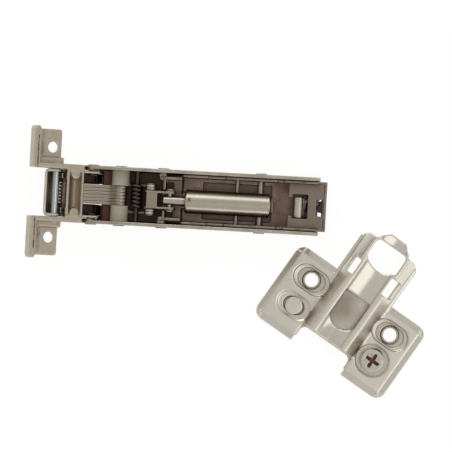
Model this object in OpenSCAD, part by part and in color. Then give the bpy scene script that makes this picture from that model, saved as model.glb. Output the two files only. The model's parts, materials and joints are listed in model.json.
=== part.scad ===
// Hydraulic cabinet hinge: a clip-on arm with a soft-close damper, and the mounting plate it clips to.
// The arm lies on its back with the open side up and the door bracket swung open.
// X runs along the arm to the rear, Y across it, and Z up out of the open side.

/* [Linkage] */
// Door opening at which the hinge is drawn, in degrees
open_angle = 110; // [100:1:112]
// Height of the inner link's pivot in the arm above the arm's back
pivot_z = 8; // [7.8:0.1:8.4]
// Distance from that pivot forward to the outer link's pivot in the arm
outer_pivot_x = 9.4; // [9:0.1:9.8]
// Height of the outer link's pivot in the arm
outer_pivot_z = 5.7; // [5.5:0.1:6]
// Distance forward to the outer link's pin in the door bracket
bracket_pin_x = 21.7; // [21:0.1:23]
// Height of the outer link's pin in the door bracket
bracket_pin_z = 10.3; // [10:0.1:11.5]
// Distance forward to the inner link's pin in the door bracket
link_pin_x = 18.4; // [18:0.1:18.8]
// Height of the inner link's pin in the door bracket
link_pin_z = 7.4; // [7.2:0.1:7.6]
// Radial clearance of a running pivot
pivot_clear = 0.05; // [0.02:0.01:0.1]
// Side clearance between pieces that slide past each other
side_clear = 0.12; // [0.05:0.01:0.2]

/* [Arm channel] */
// Width over the side walls
arm_w = 19.4; // [19:0.1:22]
// Height of the side walls
arm_h = 13; // [12.8:0.1:15]
// Distance from the inner pivot to the rear end
arm_rear = 66.5; // [65:0.5:67]
// Sheet thickness
arm_sheet = 1.2; // [1:0.05:1.3]
// Radius of the lobes that carry the outer link
lobe_r = 3.1; // [2.8:0.1:3.4]
// Distance that the back reaches forward of the inner pivot
back_front = 6.2; // [4:0.1:6.3]

/* [Door bracket] */
// Width over both wings
bracket_w = 44; // [42:0.5:50]
// Distance between the two screw holes
door_hole_pitch = 30; // [28:0.5:34]
// Diameter of the door screw holes
door_hole_d = 3.7; // [3:0.1:4.2]
// Thickness of the wing plates
wing_t = 2.2; // [1.8:0.1:2.6]
// Width of the wing plates behind the lips
wing_len = 8; // [7:0.1:8.4]
// Height of the lips and the box face above the outer link's pin
face_h = 3; // [2.8:0.1:3.4]
// Width of the lips
lip_w = 2.35; // [2:0.05:2.6]
// Thickness of the bracket's side arms
side_arm_t = 1.7; // [1.4:0.05:2]
// Thickness of the bridge over the links
bridge_t = 2; // [1.8:0.1:2.1]
// Diameter of the outer link's pin in the bracket
bracket_pin_d = 2.8; // [2.4:0.1:3]
// Diameter of the inner link's pin in the bracket
link_pin_d = 2.6; // [2.2:0.1:2.8]

/* [Links] */
// Number of plates in the inner link
plate_count = 6; // [6]
// Thickness of one plate
plate_t = 0.98; // [0.8:0.02:1]
// Gap between neighbouring plates
plate_gap = 0.12; // [0.05:0.01:0.2]
// Eye radius of the inner link
eye_r = 2.1; // [2:0.05:2.3]
// Half height of the inner link between its eyes
neck_r = 1.6; // [1.4:0.05:1.7]
// Diameter of the inner link's pivot pin
pivot_pin_d = 3.2; // [2.6:0.1:3.2]
// Diameter of the white pivot bushes
bush_d = 5.8; // [5:0.1:5.8]
// Sheet thickness of the outer link
outer_sheet = 0.9; // [0.8:0.05:1]
// Gap between the outer link and each wall of the arm
outer_gap = 0.7; // [0.5:0.05:0.8]
// Diameter of the outer link's rivets
rivet_d = 3; // [2.6:0.1:3.2]
// Distance of the tail pin below the inner pivot
tail_drop = 4.8; // [4.7:0.05:4.9]
// Diameter of the tail pin
tail_pin_d = 1.2; // [1:0.05:1.3]

/* [Closing spring] */
// Wire diameter
wire_d = 1.2; // [1:0.05:1.25]
// Outer diameter of the coil
coil_d = 4.2; // [4:0.05:4.4]
// Number of turns
coil_turns = 6; // [4:1:6]
// Distance from the inner pivot to the coil's centre
coil_x = 5.5; // [5.4:0.05:5.7]
// Height of the coil's centre
coil_z = 7.6; // [7.4:0.05:8]

/* [Damper] */
// Outer diameter of the cylinder
damper_d = 8; // [7.6:0.1:8]
// Length of the cylinder
damper_len = 28.6; // [26:0.2:28.8]
// Front face of the cylinder, from the inner pivot
damper_x = 21.6; // [21.4:0.1:22]
// Height of the damper's axis
damper_z = 8.4; // [8.3:0.1:8.8]
// How far the damper lies off the arm's middle, to leave room for the spring's end
damper_off = 0.6; // [0:0.1:0.8]
// Wall of the cylinder
damper_wall = 0.6; // [0.4:0.05:0.8]
// Diameter of the piston rod
rod_d = 3.2; // [2.6:0.1:3.3]
// Front end of the piston rod, from the inner pivot
rod_front = 14.3; // [14:0.1:14.6]
// Front pin of the clevis, from the inner pivot
clevis_x = 10.2; // [10:0.1:10.4]
// Distance between the clevis pins
clevis_len = 6.4; // [6:0.1:6.6]
// Sheet thickness of the clevis
clevis_sheet = 0.9; // [0.7:0.05:1]
// Sheet thickness of the drive links
drive_sheet = 0.8; // [0.6:0.05:0.9]

/* [Carrier and latch] */
// Sheet thickness of the carrier channel
carrier_sheet = 0.9; // [0.8:0.05:1]
// Front end of the carrier, from the inner pivot
carrier_front = 20.8; // [20.6:0.1:23]
// Rear end of the carrier, from the inner pivot
carrier_rear = 68.8; // [68.6:0.1:70]
// Height of the carrier's side walls above the arm's back
carrier_h = 12.2; // [11.8:0.1:12.4]
// Diameter of the thin cross pin
thin_pin_d = 1.3; // [1:0.1:1.4]
// Diameter of the thick cross pin
thick_pin_d = 2.1; // [1.8:0.1:2.2]
// Travel of the depth adjustment to each side
depth_travel = 1.4; // [1:0.1:1.4]
// Diameter of the depth cam's head
cam_head_d = 8; // [7:0.1:8.4]

/* [Mounting plate] */
// Distance between the two screw sleeves
sleeve_pitch = 32; // [32]
// Bore of the screw sleeves
sleeve_bore = 4.6; // [4.2:0.1:4.8]
// Width over both wings
plate_w = 52; // [50:0.5:56]
// Front edge of the wings, forward of the screw line
plate_wing_front = 20.5; // [19:0.5:22]
// Rear edge of the wings, behind the screw line
plate_wing_rear = 8.2; // [8:0.1:9]
// Front edge of the channel, forward of the screw line
plate_nose = 13.5; // [13:0.1:15]
// Rear end of the channel, behind the screw line
plate_tail = 28; // [27:0.2:30]
// Sheet thickness of both sheets
plate_sheet = 1.1; // [0.9:0.05:1.2]
// Rise of the channel above the wings
channel_rise = 4.4; // [3.6:0.1:5]
// Width over the channel's top
channel_top_w = 14; // [13:0.2:15]
// Width of the channel at the wings
channel_foot_w = 20.4; // [20:0.2:21]
// Travel of the height adjustment to each side
height_travel = 1.3; // [1:0.1:1.4]
// Place of the plate beside the arm, along X
plate_x = 79; // [76:0.5:84]
// Place of the plate beside the arm, along Y
plate_y = -33; // [-40:0.5:-33]
// Direction of the plate's channel
plate_turn = 58; // [50:1:64]

/* [Hidden] */
$fn = 48;
eps = 0.01;

nickel = [0.80, 0.78, 0.72];
zinc = [0.66, 0.62, 0.56];
steel = [0.86, 0.86, 0.84];
dark_steel = [0.24, 0.23, 0.22];
ivory = [0.80, 0.79, 0.72];

// Pivot centres in the X-Z plane
tilt = open_angle - 90;
pivot = [0, pivot_z];
outer_pivot = [-outer_pivot_x, outer_pivot_z];
bracket_pin_at = [-bracket_pin_x, bracket_pin_z];
link_pin_at = [-link_pin_x, link_pin_z];
tail_at = [0.5, pivot_z - tail_drop];

// The inner link's pin in the bracket's own frame, where the outer link's pin is the origin
function to_bracket(p) = let (d = p - bracket_pin_at)
    [d.x * cos(tilt) - d.y * sin(tilt), d.x * sin(tilt) + d.y * cos(tilt)];
link_local = to_bracket(link_pin_at);

// Widths across the arm
arm_out = arm_w / 2;
arm_in = arm_out - arm_sheet;
stack_w = plate_count * plate_t + (plate_count - 1) * plate_gap;
stack_y = 0.15;
carrier_out = arm_in - 0.2;
carrier_in = carrier_out - carrier_sheet;
carrier_floor = arm_sheet + 0.2;
outer_w = 2 * (arm_in - outer_gap);
outer_out = outer_w / 2;
outer_in = outer_out - outer_sheet;
bracket_in = outer_out + 0.2;
bracket_out = bracket_in + side_arm_t;
head_t = 0.35;
head_r = 1.9;

// A plate that lies in the X-Z plane, from y0 over a thickness t
module upright(y0, t) {
    translate([0, y0 + t, 0])
        rotate([90, 0, 0])
            linear_extrude(t) children();
}

// The same shape on both sides of the middle
module both_sides(y0, t) {
    upright(y0, t) children();
    upright(-y0 - t, t) children();
}

// A round bar along Y between y0 and y1, at a point in the X-Z plane
module cross_bar(at, r, y0, y1) {
    translate([at.x, y1, at.y])
        rotate([90, 0, 0])
            cylinder(r = r, h = y1 - y0);
}

// The straight stretch between two round ends; its sides enter them a hair inside the tangent points
module tangent_bar(p, rp, q, rq) {
    hair = 0.004;
    d = q - p;
    turn = atan2(d.y, d.x);
    lean = acos((rp - rq) / norm(d));
    polygon([
        for (s = [1, -1]) p + (rp - hair) * [cos(turn + s * lean), sin(turn + s * lean)],
        for (s = [-1, 1]) q + (rq - hair) * [cos(turn + s * lean), sin(turn + s * lean)]
    ]);
}

// Two round ends joined by their outer tangents
module link_outline(p, rp, q, rq) {
    translate(p) circle(rp);
    translate(q) circle(rq);
    tangent_bar(p, rp, q, rq);
}

// A rectangle from corner a to corner b with round corners
module round_rect(a, b, r) {
    translate([a.x + r, a.y]) square([b.x - a.x - 2 * r, b.y - a.y]);
    translate([a.x, a.y + r]) square([b.x - a.x, b.y - a.y - 2 * r]);
    for (x = [a.x + r, b.x - r], y = [a.y + r, b.y - r])
        translate([x, y]) circle(r, $fn = 32);
}

// A slot with round ends, its long side along X
module slot_outline(len, w) {
    square([len - w, w], center = true);
    for (s = [-1, 1]) translate([s * (len - w) / 2, 0]) circle(w / 2);
}

// Places a shape drawn in the bracket's frame: X away from the lips, Z out of the door face
module at_bracket() {
    translate([bracket_pin_at.x, 0, bracket_pin_at.y])
        rotate([0, tilt, 0]) children();
}

/* Door bracket */
bracket_bottom = -3.9;
lip_left = -8.9;
lip_right = lip_left + lip_w;
bracket_right = 9.1;
window_right = 3.2;
wing_right = lip_right + wing_len;
wing_bottom = -1.6;
wing_top = wing_bottom + wing_t;
door_hole_a = -1.4;
bridge_bottom = face_h - bridge_t;
cheek_out = outer_in - 0.3;
cheek_in = cheek_out - 1.7;
spacer_r = 1.9;

// One wing with its lip, the step beside the box, and its screw hole
module bracket_wing() {
    step_out = bracket_out + 1.9;
    wing_out = bracket_w / 2 - 1;
    difference() {
        union() {
            translate([0, 0, wing_bottom])
                linear_extrude(wing_t)
                    round_rect([lip_left, bracket_in], [wing_right, wing_out], 1);
            translate([lip_right - 0.5, bracket_out - eps, wing_bottom])
                cube([wing_right + 1.3 - lip_right, step_out - bracket_out, wing_t + 0.8]);
            translate([0, 0, wing_bottom])
                linear_extrude(face_h - wing_bottom)
                    round_rect([lip_left, bracket_in], [lip_right, bracket_w / 2], lip_w / 2 - eps);
            translate([lip_left, bracket_in, wing_bottom])
                cube([lip_w, 3, face_h - wing_bottom]);
            translate([lip_right, bracket_in, wing_top])
                rotate([-90, 0, 0])
                    linear_extrude(wing_out - bracket_in - 1)
                        polygon([[0, 0], [1.6, 0], [0, -1.1]]);
        }
        translate([door_hole_a, door_hole_pitch / 2, wing_bottom - 1])
            cylinder(d = door_hole_d, h = wing_t + 3);
    }
}

module door_bracket() {
    color(zinc) at_bracket() difference() {
        union() {
            bracket_wing();
            mirror([0, 1, 0]) bracket_wing();
            both_sides(bracket_in, side_arm_t)
                difference() {
                    union() {
                        translate([lip_left + 0.8, bracket_bottom + 2.2])
                            square([bracket_right - lip_left - 0.8, face_h - bracket_bottom - 2.2]);
                        round_rect([-4, bracket_bottom], [bracket_right, face_h], 1);
                    }
                }
            translate([window_right, -bracket_in - eps, bridge_bottom])
                cube([bracket_right - window_right, 2 * bracket_in + 2 * eps, bridge_t]);
            both_sides(cheek_in, cheek_out - cheek_in)
                difference() {
                    union() {
                        translate(link_local) circle(spacer_r);
                        translate([link_local.x - spacer_r, link_local.y])
                            square([2 * spacer_r, face_h - link_local.y]);
                        translate([link_local.x, link_local.y - 0.9])
                            square([bracket_right - link_local.x, face_h - link_local.y]);
                    }
                    translate([-20, face_h]) square(60);
                }
        }
        cross_bar([0, 0], bracket_pin_d / 2, -bracket_out - 0.05, bracket_out + 0.05);
        cross_bar(link_local, link_pin_d / 2, -cheek_out - 1, cheek_out + 1);
        bracket_pocket();
    }
}

// The trough in the bridge, with a half-round boss left standing at each end
module bracket_pocket() {
    trough_r = 2.3;
    trough_deep = 1.45;
    pocket_len = 14.6;
    boss_r = 1.6;
    pocket_a = window_right + 3;
    difference() {
        cross_bar([pocket_a, face_h - trough_deep + trough_r], trough_r, -pocket_len / 2, pocket_len / 2);
        for (s = [-1, 1]) translate([pocket_a, s * (pocket_len / 2 - 0.9), face_h - trough_deep - 1]) {
            cylinder(r = boss_r, h = trough_deep + 1);
            translate([-boss_r, s > 0 ? 0 : -2, 0]) cube([2 * boss_r, 2, trough_deep + 1]);
        }
    }
}

module bracket_pin() {
    color(steel) at_bracket()
        cross_bar([0, 0], bracket_pin_d / 2, -bracket_out + 0.3, bracket_out - 0.3);
}

module link_pin() {
    color(steel) at_bracket()
        cross_bar(link_local, link_pin_d / 2, -cheek_out + 0.1, cheek_out - 0.1);
}

// The two spacers that keep the plates in the middle of their pin
module link_spacers() {
    color("saddlebrown") at_bracket()
        for (side = [1, -1]) {
            inner = stack_w / 2 + side * stack_y + side_clear;
            scale([1, side, 1]) difference() {
                cross_bar(link_local, spacer_r, inner, cheek_in - 0.02);
                cross_bar(link_local, link_pin_d / 2, inner - 1, cheek_in + 1);
            }
        }
}

/* Links */
// Centre line of the inner link dips a little between its two eyes
dip_near = [-6, pivot_z - 2];
dip_far = [-13.5, pivot_z - 1.8];
tail_r = 1.4;

module link_plate(i) {
    y0 = stack_y - stack_w / 2 + (i - 1) * (plate_t + plate_gap);
    color(nickel)
        upright(y0, plate_t)
            difference() {
                union() {
                    link_outline(link_pin_at, eye_r, dip_far, neck_r);
                    tangent_bar(dip_far, neck_r, dip_near, neck_r + 0.1);
                    link_outline(dip_near, neck_r + 0.1, pivot, eye_r + 0.1);
                    tangent_bar(pivot, eye_r + 0.1, tail_at, tail_r);
                    translate(tail_at) circle(tail_r);
                }
                translate(link_pin_at) circle(link_pin_d / 2 + pivot_clear);
                translate(pivot) circle(pivot_pin_d / 2 + pivot_clear);
                translate(tail_at) circle(tail_pin_d / 2);
            }
}

module tail_pin() {
    color(steel)
        cross_bar(tail_at, tail_pin_d / 2, -damper_off - drive_out - 0.2, -damper_off + drive_out + 0.2);
}

// The outer link: a folded tray with two side bars, a web in front of the bracket pin and a slot below
outer_front = 4.2;
outer_r = 2.2;
bar_top = 0.55;
tray_deep = 3.7;
tray_sheet = 0.8;
tray_rear = 2.2;
slot_front = 1.2;

// Draws in a frame with its origin on the bracket pin and X towards the outer link's arm pivot
module at_outer_link() {
    d = outer_pivot - bracket_pin_at;
    translate([bracket_pin_at.x, 0, bracket_pin_at.y])
        rotate([0, -atan2(d.y, d.x), 0]) children();
}

module outer_link() {
    length = norm(outer_pivot - bracket_pin_at);
    color(nickel) at_outer_link() difference() {
        union() {
            both_sides(outer_in, outer_sheet) {
                circle(outer_r);
                translate([length, 0]) circle(outer_r);
                translate([0, -tray_deep]) square([length, tray_deep + bar_top]);
                translate([-outer_front, -tray_deep]) square([outer_front, tray_deep + outer_r]);
                translate([length - 1, -tray_deep]) square([tray_rear + 1, tray_deep - 0.8]);
            }
            translate([-outer_front, -outer_in - eps, -tray_deep])
                cube([outer_sheet, 2 * outer_in + 2 * eps, tray_deep + outer_r]);
            translate([-outer_front, -outer_out, -tray_deep - tray_sheet])
                cube([outer_front + length + tray_rear, outer_w, tray_sheet + eps]);
        }
        translate([slot_front, stack_y - stack_w / 2 - 0.2, -tray_deep - 2])
            cube([length + 10, stack_w + 0.4, 4]);
        cross_bar([0, 0], bracket_pin_d / 2 + 0.25, -outer_w, outer_w);
        cross_bar([length, 0], rivet_d / 2 + pivot_clear, -outer_w, outer_w);
        outer_link_corners();
    }
}

// Rounds the two folded front corners
module outer_link_corners() {
    r = 1.6;
    for (s = [-1, 1]) scale([1, s, 1])
        translate([-outer_front, outer_out - r, -tray_deep - 2])
            linear_extrude(tray_deep + outer_r + 4)
                difference() {
                    translate([-1, 0]) square([1 + r, r + 1]);
                    translate([r, 0]) circle(r);
                    translate([r - eps, -eps]) square([2 * r, r]);
                }
}

// Rivets that hold the outer link's ears to the arm's lobes
module outer_link_rivets() {
    color(steel)
        for (s = [-1, 1]) scale([1, s, 1]) {
            cross_bar(outer_pivot, rivet_d / 2, outer_in - 0.1, arm_out);
            cross_bar(outer_pivot, rivet_d / 2 + 0.6, outer_in - 0.1 - 0.5, outer_in - side_clear);
            cross_bar(outer_pivot, rivet_d / 2 - 0.01, outer_in - 0.5, outer_in);
            cross_bar(outer_pivot, head_r, arm_out, arm_out + head_t);
        }
}

module arm_pivot_pin() {
    color(steel) {
        cross_bar(pivot, pivot_pin_d / 2, -arm_out, arm_out);
        cross_bar(pivot, head_r, arm_out, arm_out + head_t);
        cross_bar(pivot, head_r, -arm_out - head_t, -arm_out);
    }
}

// White bush that fills the space between the plates and one wall of the arm
module pivot_bush(side) {
    inner = stack_w / 2 + side * stack_y + side_clear;
    color(ivory)
        scale([1, side, 1]) difference() {
            cross_bar(pivot, bush_d / 2, inner, arm_in - 0.02);
            cross_bar(pivot, pivot_pin_d / 2, inner - 1, arm_in + 1);
        }
}

/* Closing spring */
coil_r = (coil_d - wire_d) / 2;
coil_pitch = wire_d + 0.16;
coil_y = 0.7;
coil_start = coil_y - coil_turns * coil_pitch / 2;
steps = 20;
sides = 8;

// Centre line: a leg up from the arm's back, the coil, and a short leg down on its front side
function coil_point(i) = let (a = 360 * i / steps)
    [coil_x + coil_r * cos(a), coil_start + coil_pitch * i / steps, coil_z + coil_r * sin(a)];
coil_path = [for (i = [0 : (coil_turns - 0.5) * steps]) coil_point(i)];
coil_low_leg = [[coil_x + coil_r, coil_start, arm_sheet + wire_d / 2 + 0.1],
    [coil_x + coil_r, coil_start, coil_z - 1]];
coil_top = coil_path[len(coil_path) - 1];
coil_high_leg = [coil_top + [0, 0, -1], coil_top + [0, 0, -2]];
spring_path = concat(coil_low_leg, coil_path, coil_high_leg);

// A ring of points round one point of a path, square to the path there
function path_ring(path, i, r) = let (
        before = path[max(i - 1, 0)],
        after = path[min(i + 1, len(path) - 1)],
        along = (after - before) / norm(after - before),
        side = cross(along, [0.12, 1, 0.07]),
        u = side / norm(side),
        v = cross(along, u))
    [for (k = [0 : sides - 1]) path[i] + r * (cos(360 * k / sides) * u + sin(360 * k / sides) * v)];

// A wire swept along a path as one closed solid
module wire(path, r) {
    count = len(path);
    rings = [for (i = [0 : count - 1]) each path_ring(path, i, r)];
    walls = [for (i = [0 : count - 2], k = [0 : sides - 1])
        [i * sides + k, (i + 1) * sides + k, (i + 1) * sides + (k + 1) % sides, i * sides + (k + 1) % sides]];
    first = [for (k = [0 : sides - 1]) k];
    last = [for (k = [sides - 1 : -1 : 0]) (count - 1) * sides + k];
    polyhedron(rings, concat(walls, [first, last]));
}

module closing_spring() {
    color(dark_steel) wire(spring_path, wire_d / 2);
}

module spring_pin() {
    color(dark_steel)
        cross_bar([coil_x, coil_z], coil_r - wire_d / 2 - 0.12, -arm_out, arm_out);
}

/* Arm channel */
side_screw_x = 24;
side_screw_d = 7;
cam_x = 62;
frame_rivet_x = 14.15;
guide_x = 46.75;

module arm_side() {
    link_outline(outer_pivot, lobe_r, pivot, arm_h - pivot_z);
    polygon([outer_pivot + [0, -lobe_r], [-back_front, 0], [0, 0], [0, arm_h], pivot]);
    difference() {
        square([arm_rear, arm_h]);
        translate([arm_rear, arm_h]) rotate(45) square(2.4, center = true);
    }
}

module arm_channel() {
    color(nickel) difference() {
        union() {
            both_sides(arm_in, arm_sheet) arm_side();
            translate([-back_front, -arm_in - eps, 0])
                cube([arm_rear + back_front, 2 * arm_in + 2 * eps, arm_sheet]);
        }
        cross_bar(outer_pivot, rivet_d / 2, -arm_w, arm_w);
        cross_bar(pivot, pivot_pin_d / 2, -arm_w, arm_w);
        cross_bar([coil_x, coil_z], coil_r - wire_d / 2 - 0.12, -arm_w, arm_w);
        cross_bar([frame_rivet_x, pivot_z], frame_rivet_r, -arm_w, arm_w);
        translate([side_screw_x, 0, -1]) cylinder(r = side_screw_d / 2 + pivot_clear, h = arm_sheet + 2);
        translate([cam_x, 0, -1]) cylinder(r = cam_head_d / 2 + pivot_clear, h = arm_sheet + 2);
        translate([66.1, -4.4, -1]) cube([9, 8.8, arm_sheet + 2]);
        cross_bar([guide_x, pivot_z], frame_rivet_r, -arm_w, arm_w);
        arm_corners();
    }
}

// Rounds the folded edges along the arm's back
module arm_corners() {
    r = 1.6;
    for (s = [-1, 1]) scale([1, s, 1])
        translate([-30, arm_out - r, 0])
            rotate([90, 0, 90])
                linear_extrude(120)
                    difference() {
                        translate([0, -1]) square([r + 1, r + 1]);
                        translate([0, r]) circle(r);
                        translate([-eps, r - eps]) square([r, r]);
                    }
}

/* Damper */
damper_y = -damper_off;
damper_end = damper_x + damper_len;
bore_r = damper_d / 2 - damper_wall;
clevis_in = 2.3;
clevis_out = clevis_in + clevis_sheet;
washer_out = 4.1;
drive_in = washer_out + 0.05;
drive_out = drive_in + drive_sheet;
frame_rivet_r = 1.2;
frame_sheet = 0.8;
frame_out = carrier_in - 0.2;
frame_in = frame_out - frame_sheet;
frame_floor = 3.45;

// Turns a profile drawn as radius over distance into a body along the damper's axis
module damper_turned(from) {
    translate([from, damper_y, damper_z])
        rotate([0, 90, 0])
            rotate_extrude($fn = 64) children();
}

module damper_cylinder() {
    edge = 0.9;
    color(nickel) damper_turned(damper_x) difference() {
        union() {
            translate([0, edge]) square([damper_d / 2, damper_len - 1.5 * edge]);
            square([damper_d / 2 - edge, damper_len]);
            translate([damper_d / 2 - edge, edge]) circle(edge);
            translate([damper_d / 2 - edge, damper_len - edge / 2]) circle(edge / 2);
            translate([damper_d / 2 - edge, damper_len - edge]) square([edge / 2, edge / 2]);
        }
        translate([-1, -1]) square([rod_d / 2 + 0.6 + 1, 3]);
        translate([-1, 1]) square([bore_r + 1, damper_len - 2.2]);
        translate([-20, -1]) square([20, damper_len + 2]);
    }
}

module damper_gland() {
    color("dimgray") damper_turned(damper_x + 1.05)
        translate([rod_d / 2 + pivot_clear, 0]) square([bore_r - rod_d / 2 - pivot_clear, 3]);
}

module damper_rod() {
    color(nickel) difference() {
        union() {
            damper_turned(rod_front) {
                translate([0, 0.5]) square([rod_d / 2, damper_x + 4.6 - rod_front]);
                square([rod_d / 2 - 0.5, 1]);
                intersection() {
                    translate([rod_d / 2 - 0.5, 0.5]) circle(0.5, $fn = 24);
                    square(rod_d);
                }
            }
            damper_turned(damper_x + 4.5) square([1, 4]);
        }
        cross_bar([clevis_x + clevis_len, damper_z], rod_pin_r, -arm_w, arm_w);
    }
}

module damper_piston() {
    color("dimgray") damper_turned(damper_x + 5.2)
        translate([1, 0]) square([bore_r - pivot_clear - 1, 3]);
}

rod_pin_r = 0.8;
clevis_pin_r = 1;
clevis_h = 2.3;

module damper_clevis() {
    a = [clevis_x, damper_z];
    b = [clevis_x + clevis_len, damper_z];
    top = damper_z + clevis_h;
    color(nickel) translate([0, damper_y, 0]) difference() {
        union() {
            both_sides(clevis_in, clevis_sheet) {
                link_outline(a, clevis_h, b, clevis_h - 0.2);
                translate([clevis_x - 1.3, damper_z]) square([3.5, clevis_h]);
            }
            translate([clevis_x - 1.3, -clevis_in - eps, top - clevis_sheet])
                cube([3.5, 2 * clevis_in + 2 * eps, clevis_sheet]);
        }
        cross_bar(a, clevis_pin_r, -arm_w, arm_w);
        cross_bar(b, rod_pin_r, -arm_w, arm_w);
        for (s = [-1, 1]) scale([1, s, 1])
            translate([0, clevis_out, top])
                rotate([45, 0, 0]) cube([60, 0.6, 0.6], center = true);
    }
}

module clevis_pin() {
    color(steel) translate([0, damper_y, 0]) {
        cross_bar([clevis_x, damper_z], clevis_pin_r, -drive_out - 0.3, drive_out + 0.3);
        for (s = [-1, 1]) scale([1, s, 1])
            cross_bar([clevis_x, damper_z], 1.7, drive_out + 0.05, drive_out + 0.35);
    }
}

module clevis_washers() {
    color(steel) translate([0, damper_y, 0])
        for (s = [-1, 1]) scale([1, s, 1]) difference() {
            cross_bar([clevis_x, damper_z], 1.8, clevis_out + 0.05, washer_out);
            cross_bar([clevis_x, damper_z], clevis_pin_r, 0, arm_w);
        }
}

module rod_pin() {
    at = [clevis_x + clevis_len, damper_z];
    color(steel) translate([0, damper_y, 0]) {
        cross_bar(at, rod_pin_r, -clevis_out - 0.1, clevis_out + 0.1);
        for (s = [-1, 1]) scale([1, s, 1])
            cross_bar(at, 1.5, clevis_out, clevis_out + 0.6);
    }
}

// Bent links that carry the push of the inner link's tail pin to the clevis
module drive_links() {
    elbow = [clevis_x, tail_at.y + 0.4];
    color(nickel) translate([0, damper_y, 0])
        difference() {
            both_sides(drive_in, drive_sheet) {
                link_outline([clevis_x, damper_z], 1.9, elbow, 1.3);
                link_outline(elbow, 1.3, tail_at + [1, 0.4], 1.3);
                round_rect(tail_at - [1.6, 1.4], tail_at + [1.6, 1.9], 1);
            }
            cross_bar([clevis_x, damper_z], clevis_pin_r, -arm_w, arm_w);
            both_sides(drive_in - 1, drive_sheet + 2)
                translate(tail_at + [0, 0.3])
                    rotate(90) slot_outline(1.1 + tail_pin_d + 0.3, tail_pin_d + 0.3);
        }
}

// The frame that holds the damper: ears behind the spring, a tongue below, and a stop at the rear
module damper_frame() {
    front = 13;
    ear_rear = 20.4;
    tab_x = 14.3;
    top = arm_h - 1;
    tongue = 2.4;
    color(nickel) difference() {
        union() {
            both_sides(frame_in, frame_sheet)
                translate([front, frame_floor]) square([ear_rear - front, top - frame_floor]);
            translate([front + 1, -frame_in - eps, frame_floor])
                cube([ear_rear - front - 1, 2 * frame_in + 2 * eps, frame_sheet]);
            for (s = [-1, 1])
                translate([tab_x, s > 0 ? damper_y + 3.6 : -frame_in - eps, frame_floor])
                    cube([frame_sheet, frame_in + eps - 3.6 - s * damper_y, top - 0.6 - frame_floor]);
            translate([ear_rear - 1, damper_y - tongue, frame_floor])
                cube([damper_end + 1.1 - ear_rear + frame_sheet, 2 * tongue, frame_sheet]);
            translate([damper_end + 0.1, damper_y - tongue, frame_floor])
                cube([frame_sheet, 2 * tongue, damper_z - 1 - frame_floor]);
        }
        both_sides(frame_in - 1, frame_sheet + 2)
            translate([frame_rivet_x, pivot_z]) circle(frame_rivet_r);
        for (y = [4.2, -5.4]) translate([15.4, y - 1.2, frame_floor - 1]) cube([2.2, 2.4, 3]);
    }
}

// Rivets with a collar that hold the frame's ears to the arm's walls
module frame_rivets() {
    at = [frame_rivet_x, pivot_z];
    color(steel) for (s = [-1, 1]) scale([1, s, 1]) {
        cross_bar(at, frame_rivet_r, frame_in - 0.3, arm_out);
        cross_bar(at, frame_rivet_r + 0.5, frame_out + 0.02, arm_in - 0.02);
        cross_bar(at, head_r, arm_out, arm_out + head_t);
    }
}

// Guide rivets in the arm's walls, which run in slots of the carrier
module guide_rivets() {
    at = [guide_x, pivot_z];
    color(steel) for (s = [-1, 1]) scale([1, s, 1]) {
        cross_bar(at, frame_rivet_r, carrier_in + 0.1, arm_out);
        cross_bar(at, head_r, arm_out, arm_out + head_t);
    }
}

/* Carrier and latch */
thin_at = [38.95, 2.75];
thick_at = [46.75, 2.4];
latch_at = [63.4, 5];
latch_pin_r = 0.9;
cam_offset = 1.6;
cam_pin_r = 1.4;
notch_clear = 0.15;

module carrier_channel() {
    top_notch = 0.9;
    floor_slot_w = 2 * carrier_in - 2.8;
    side_notch_w = side_shank_d + 1;
    color(nickel) difference() {
        union() {
            both_sides(carrier_in, carrier_sheet) difference() {
                translate([carrier_front, carrier_floor])
                    square([carrier_rear - carrier_front, carrier_h - carrier_floor]);
                translate([29, carrier_h - top_notch]) square([6, 2]);
                translate([52.2, carrier_h - top_notch]) square([2.4, 2]);
                translate([carrier_rear - 2.6, carrier_h - 1.9]) square([3, 3]);
            }
            translate([carrier_front, -carrier_in - eps, carrier_floor])
                cube([carrier_rear - carrier_front, 2 * carrier_in + 2 * eps, carrier_sheet]);
            translate([carrier_rear - carrier_sheet, -carrier_in - eps, carrier_floor])
                cube([carrier_sheet, 2 * carrier_in + 2 * eps, carrier_h - 1.9 - carrier_floor]);
        }
        translate([damper_end - 22.7, -floor_slot_w / 2, 0]) cube([23, floor_slot_w, carrier_floor + carrier_sheet + 1]);
        both_sides(carrier_in - 1, carrier_sheet + 2) translate([guide_x, pivot_z])
            slot_outline(2 * frame_rivet_r + 2 * depth_travel + 0.4, 2 * frame_rivet_r + 0.3);
        translate([65.7, -3.3, 0]) cube([1.7, 5.7, carrier_floor + carrier_sheet + 1]);
        cross_bar(thin_at, thin_pin_d / 2, -arm_w, arm_w);
        cross_bar(thick_at, thick_pin_d / 2, -arm_w, arm_w);
        cross_bar(latch_at, latch_pin_r, -arm_w, arm_w);
        translate([carrier_front - 1, -side_notch_w / 2, 0])
            cube([damper_end - 22.6 - carrier_front + 1, side_notch_w, carrier_floor + carrier_sheet + 1]);
        translate([cam_x, 0, 0]) linear_extrude(6)
            translate([0, cam_offset * 0.75]) rotate(90)
                slot_outline(2 * cam_pin_r + cam_offset * 0.5 + 0.8, 2 * (cam_pin_r + notch_clear));
        translate([carrier_rear - 2, -2.6, carrier_floor + 1.2]) cube([4, 5.2, 4]);
    }
}

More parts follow.
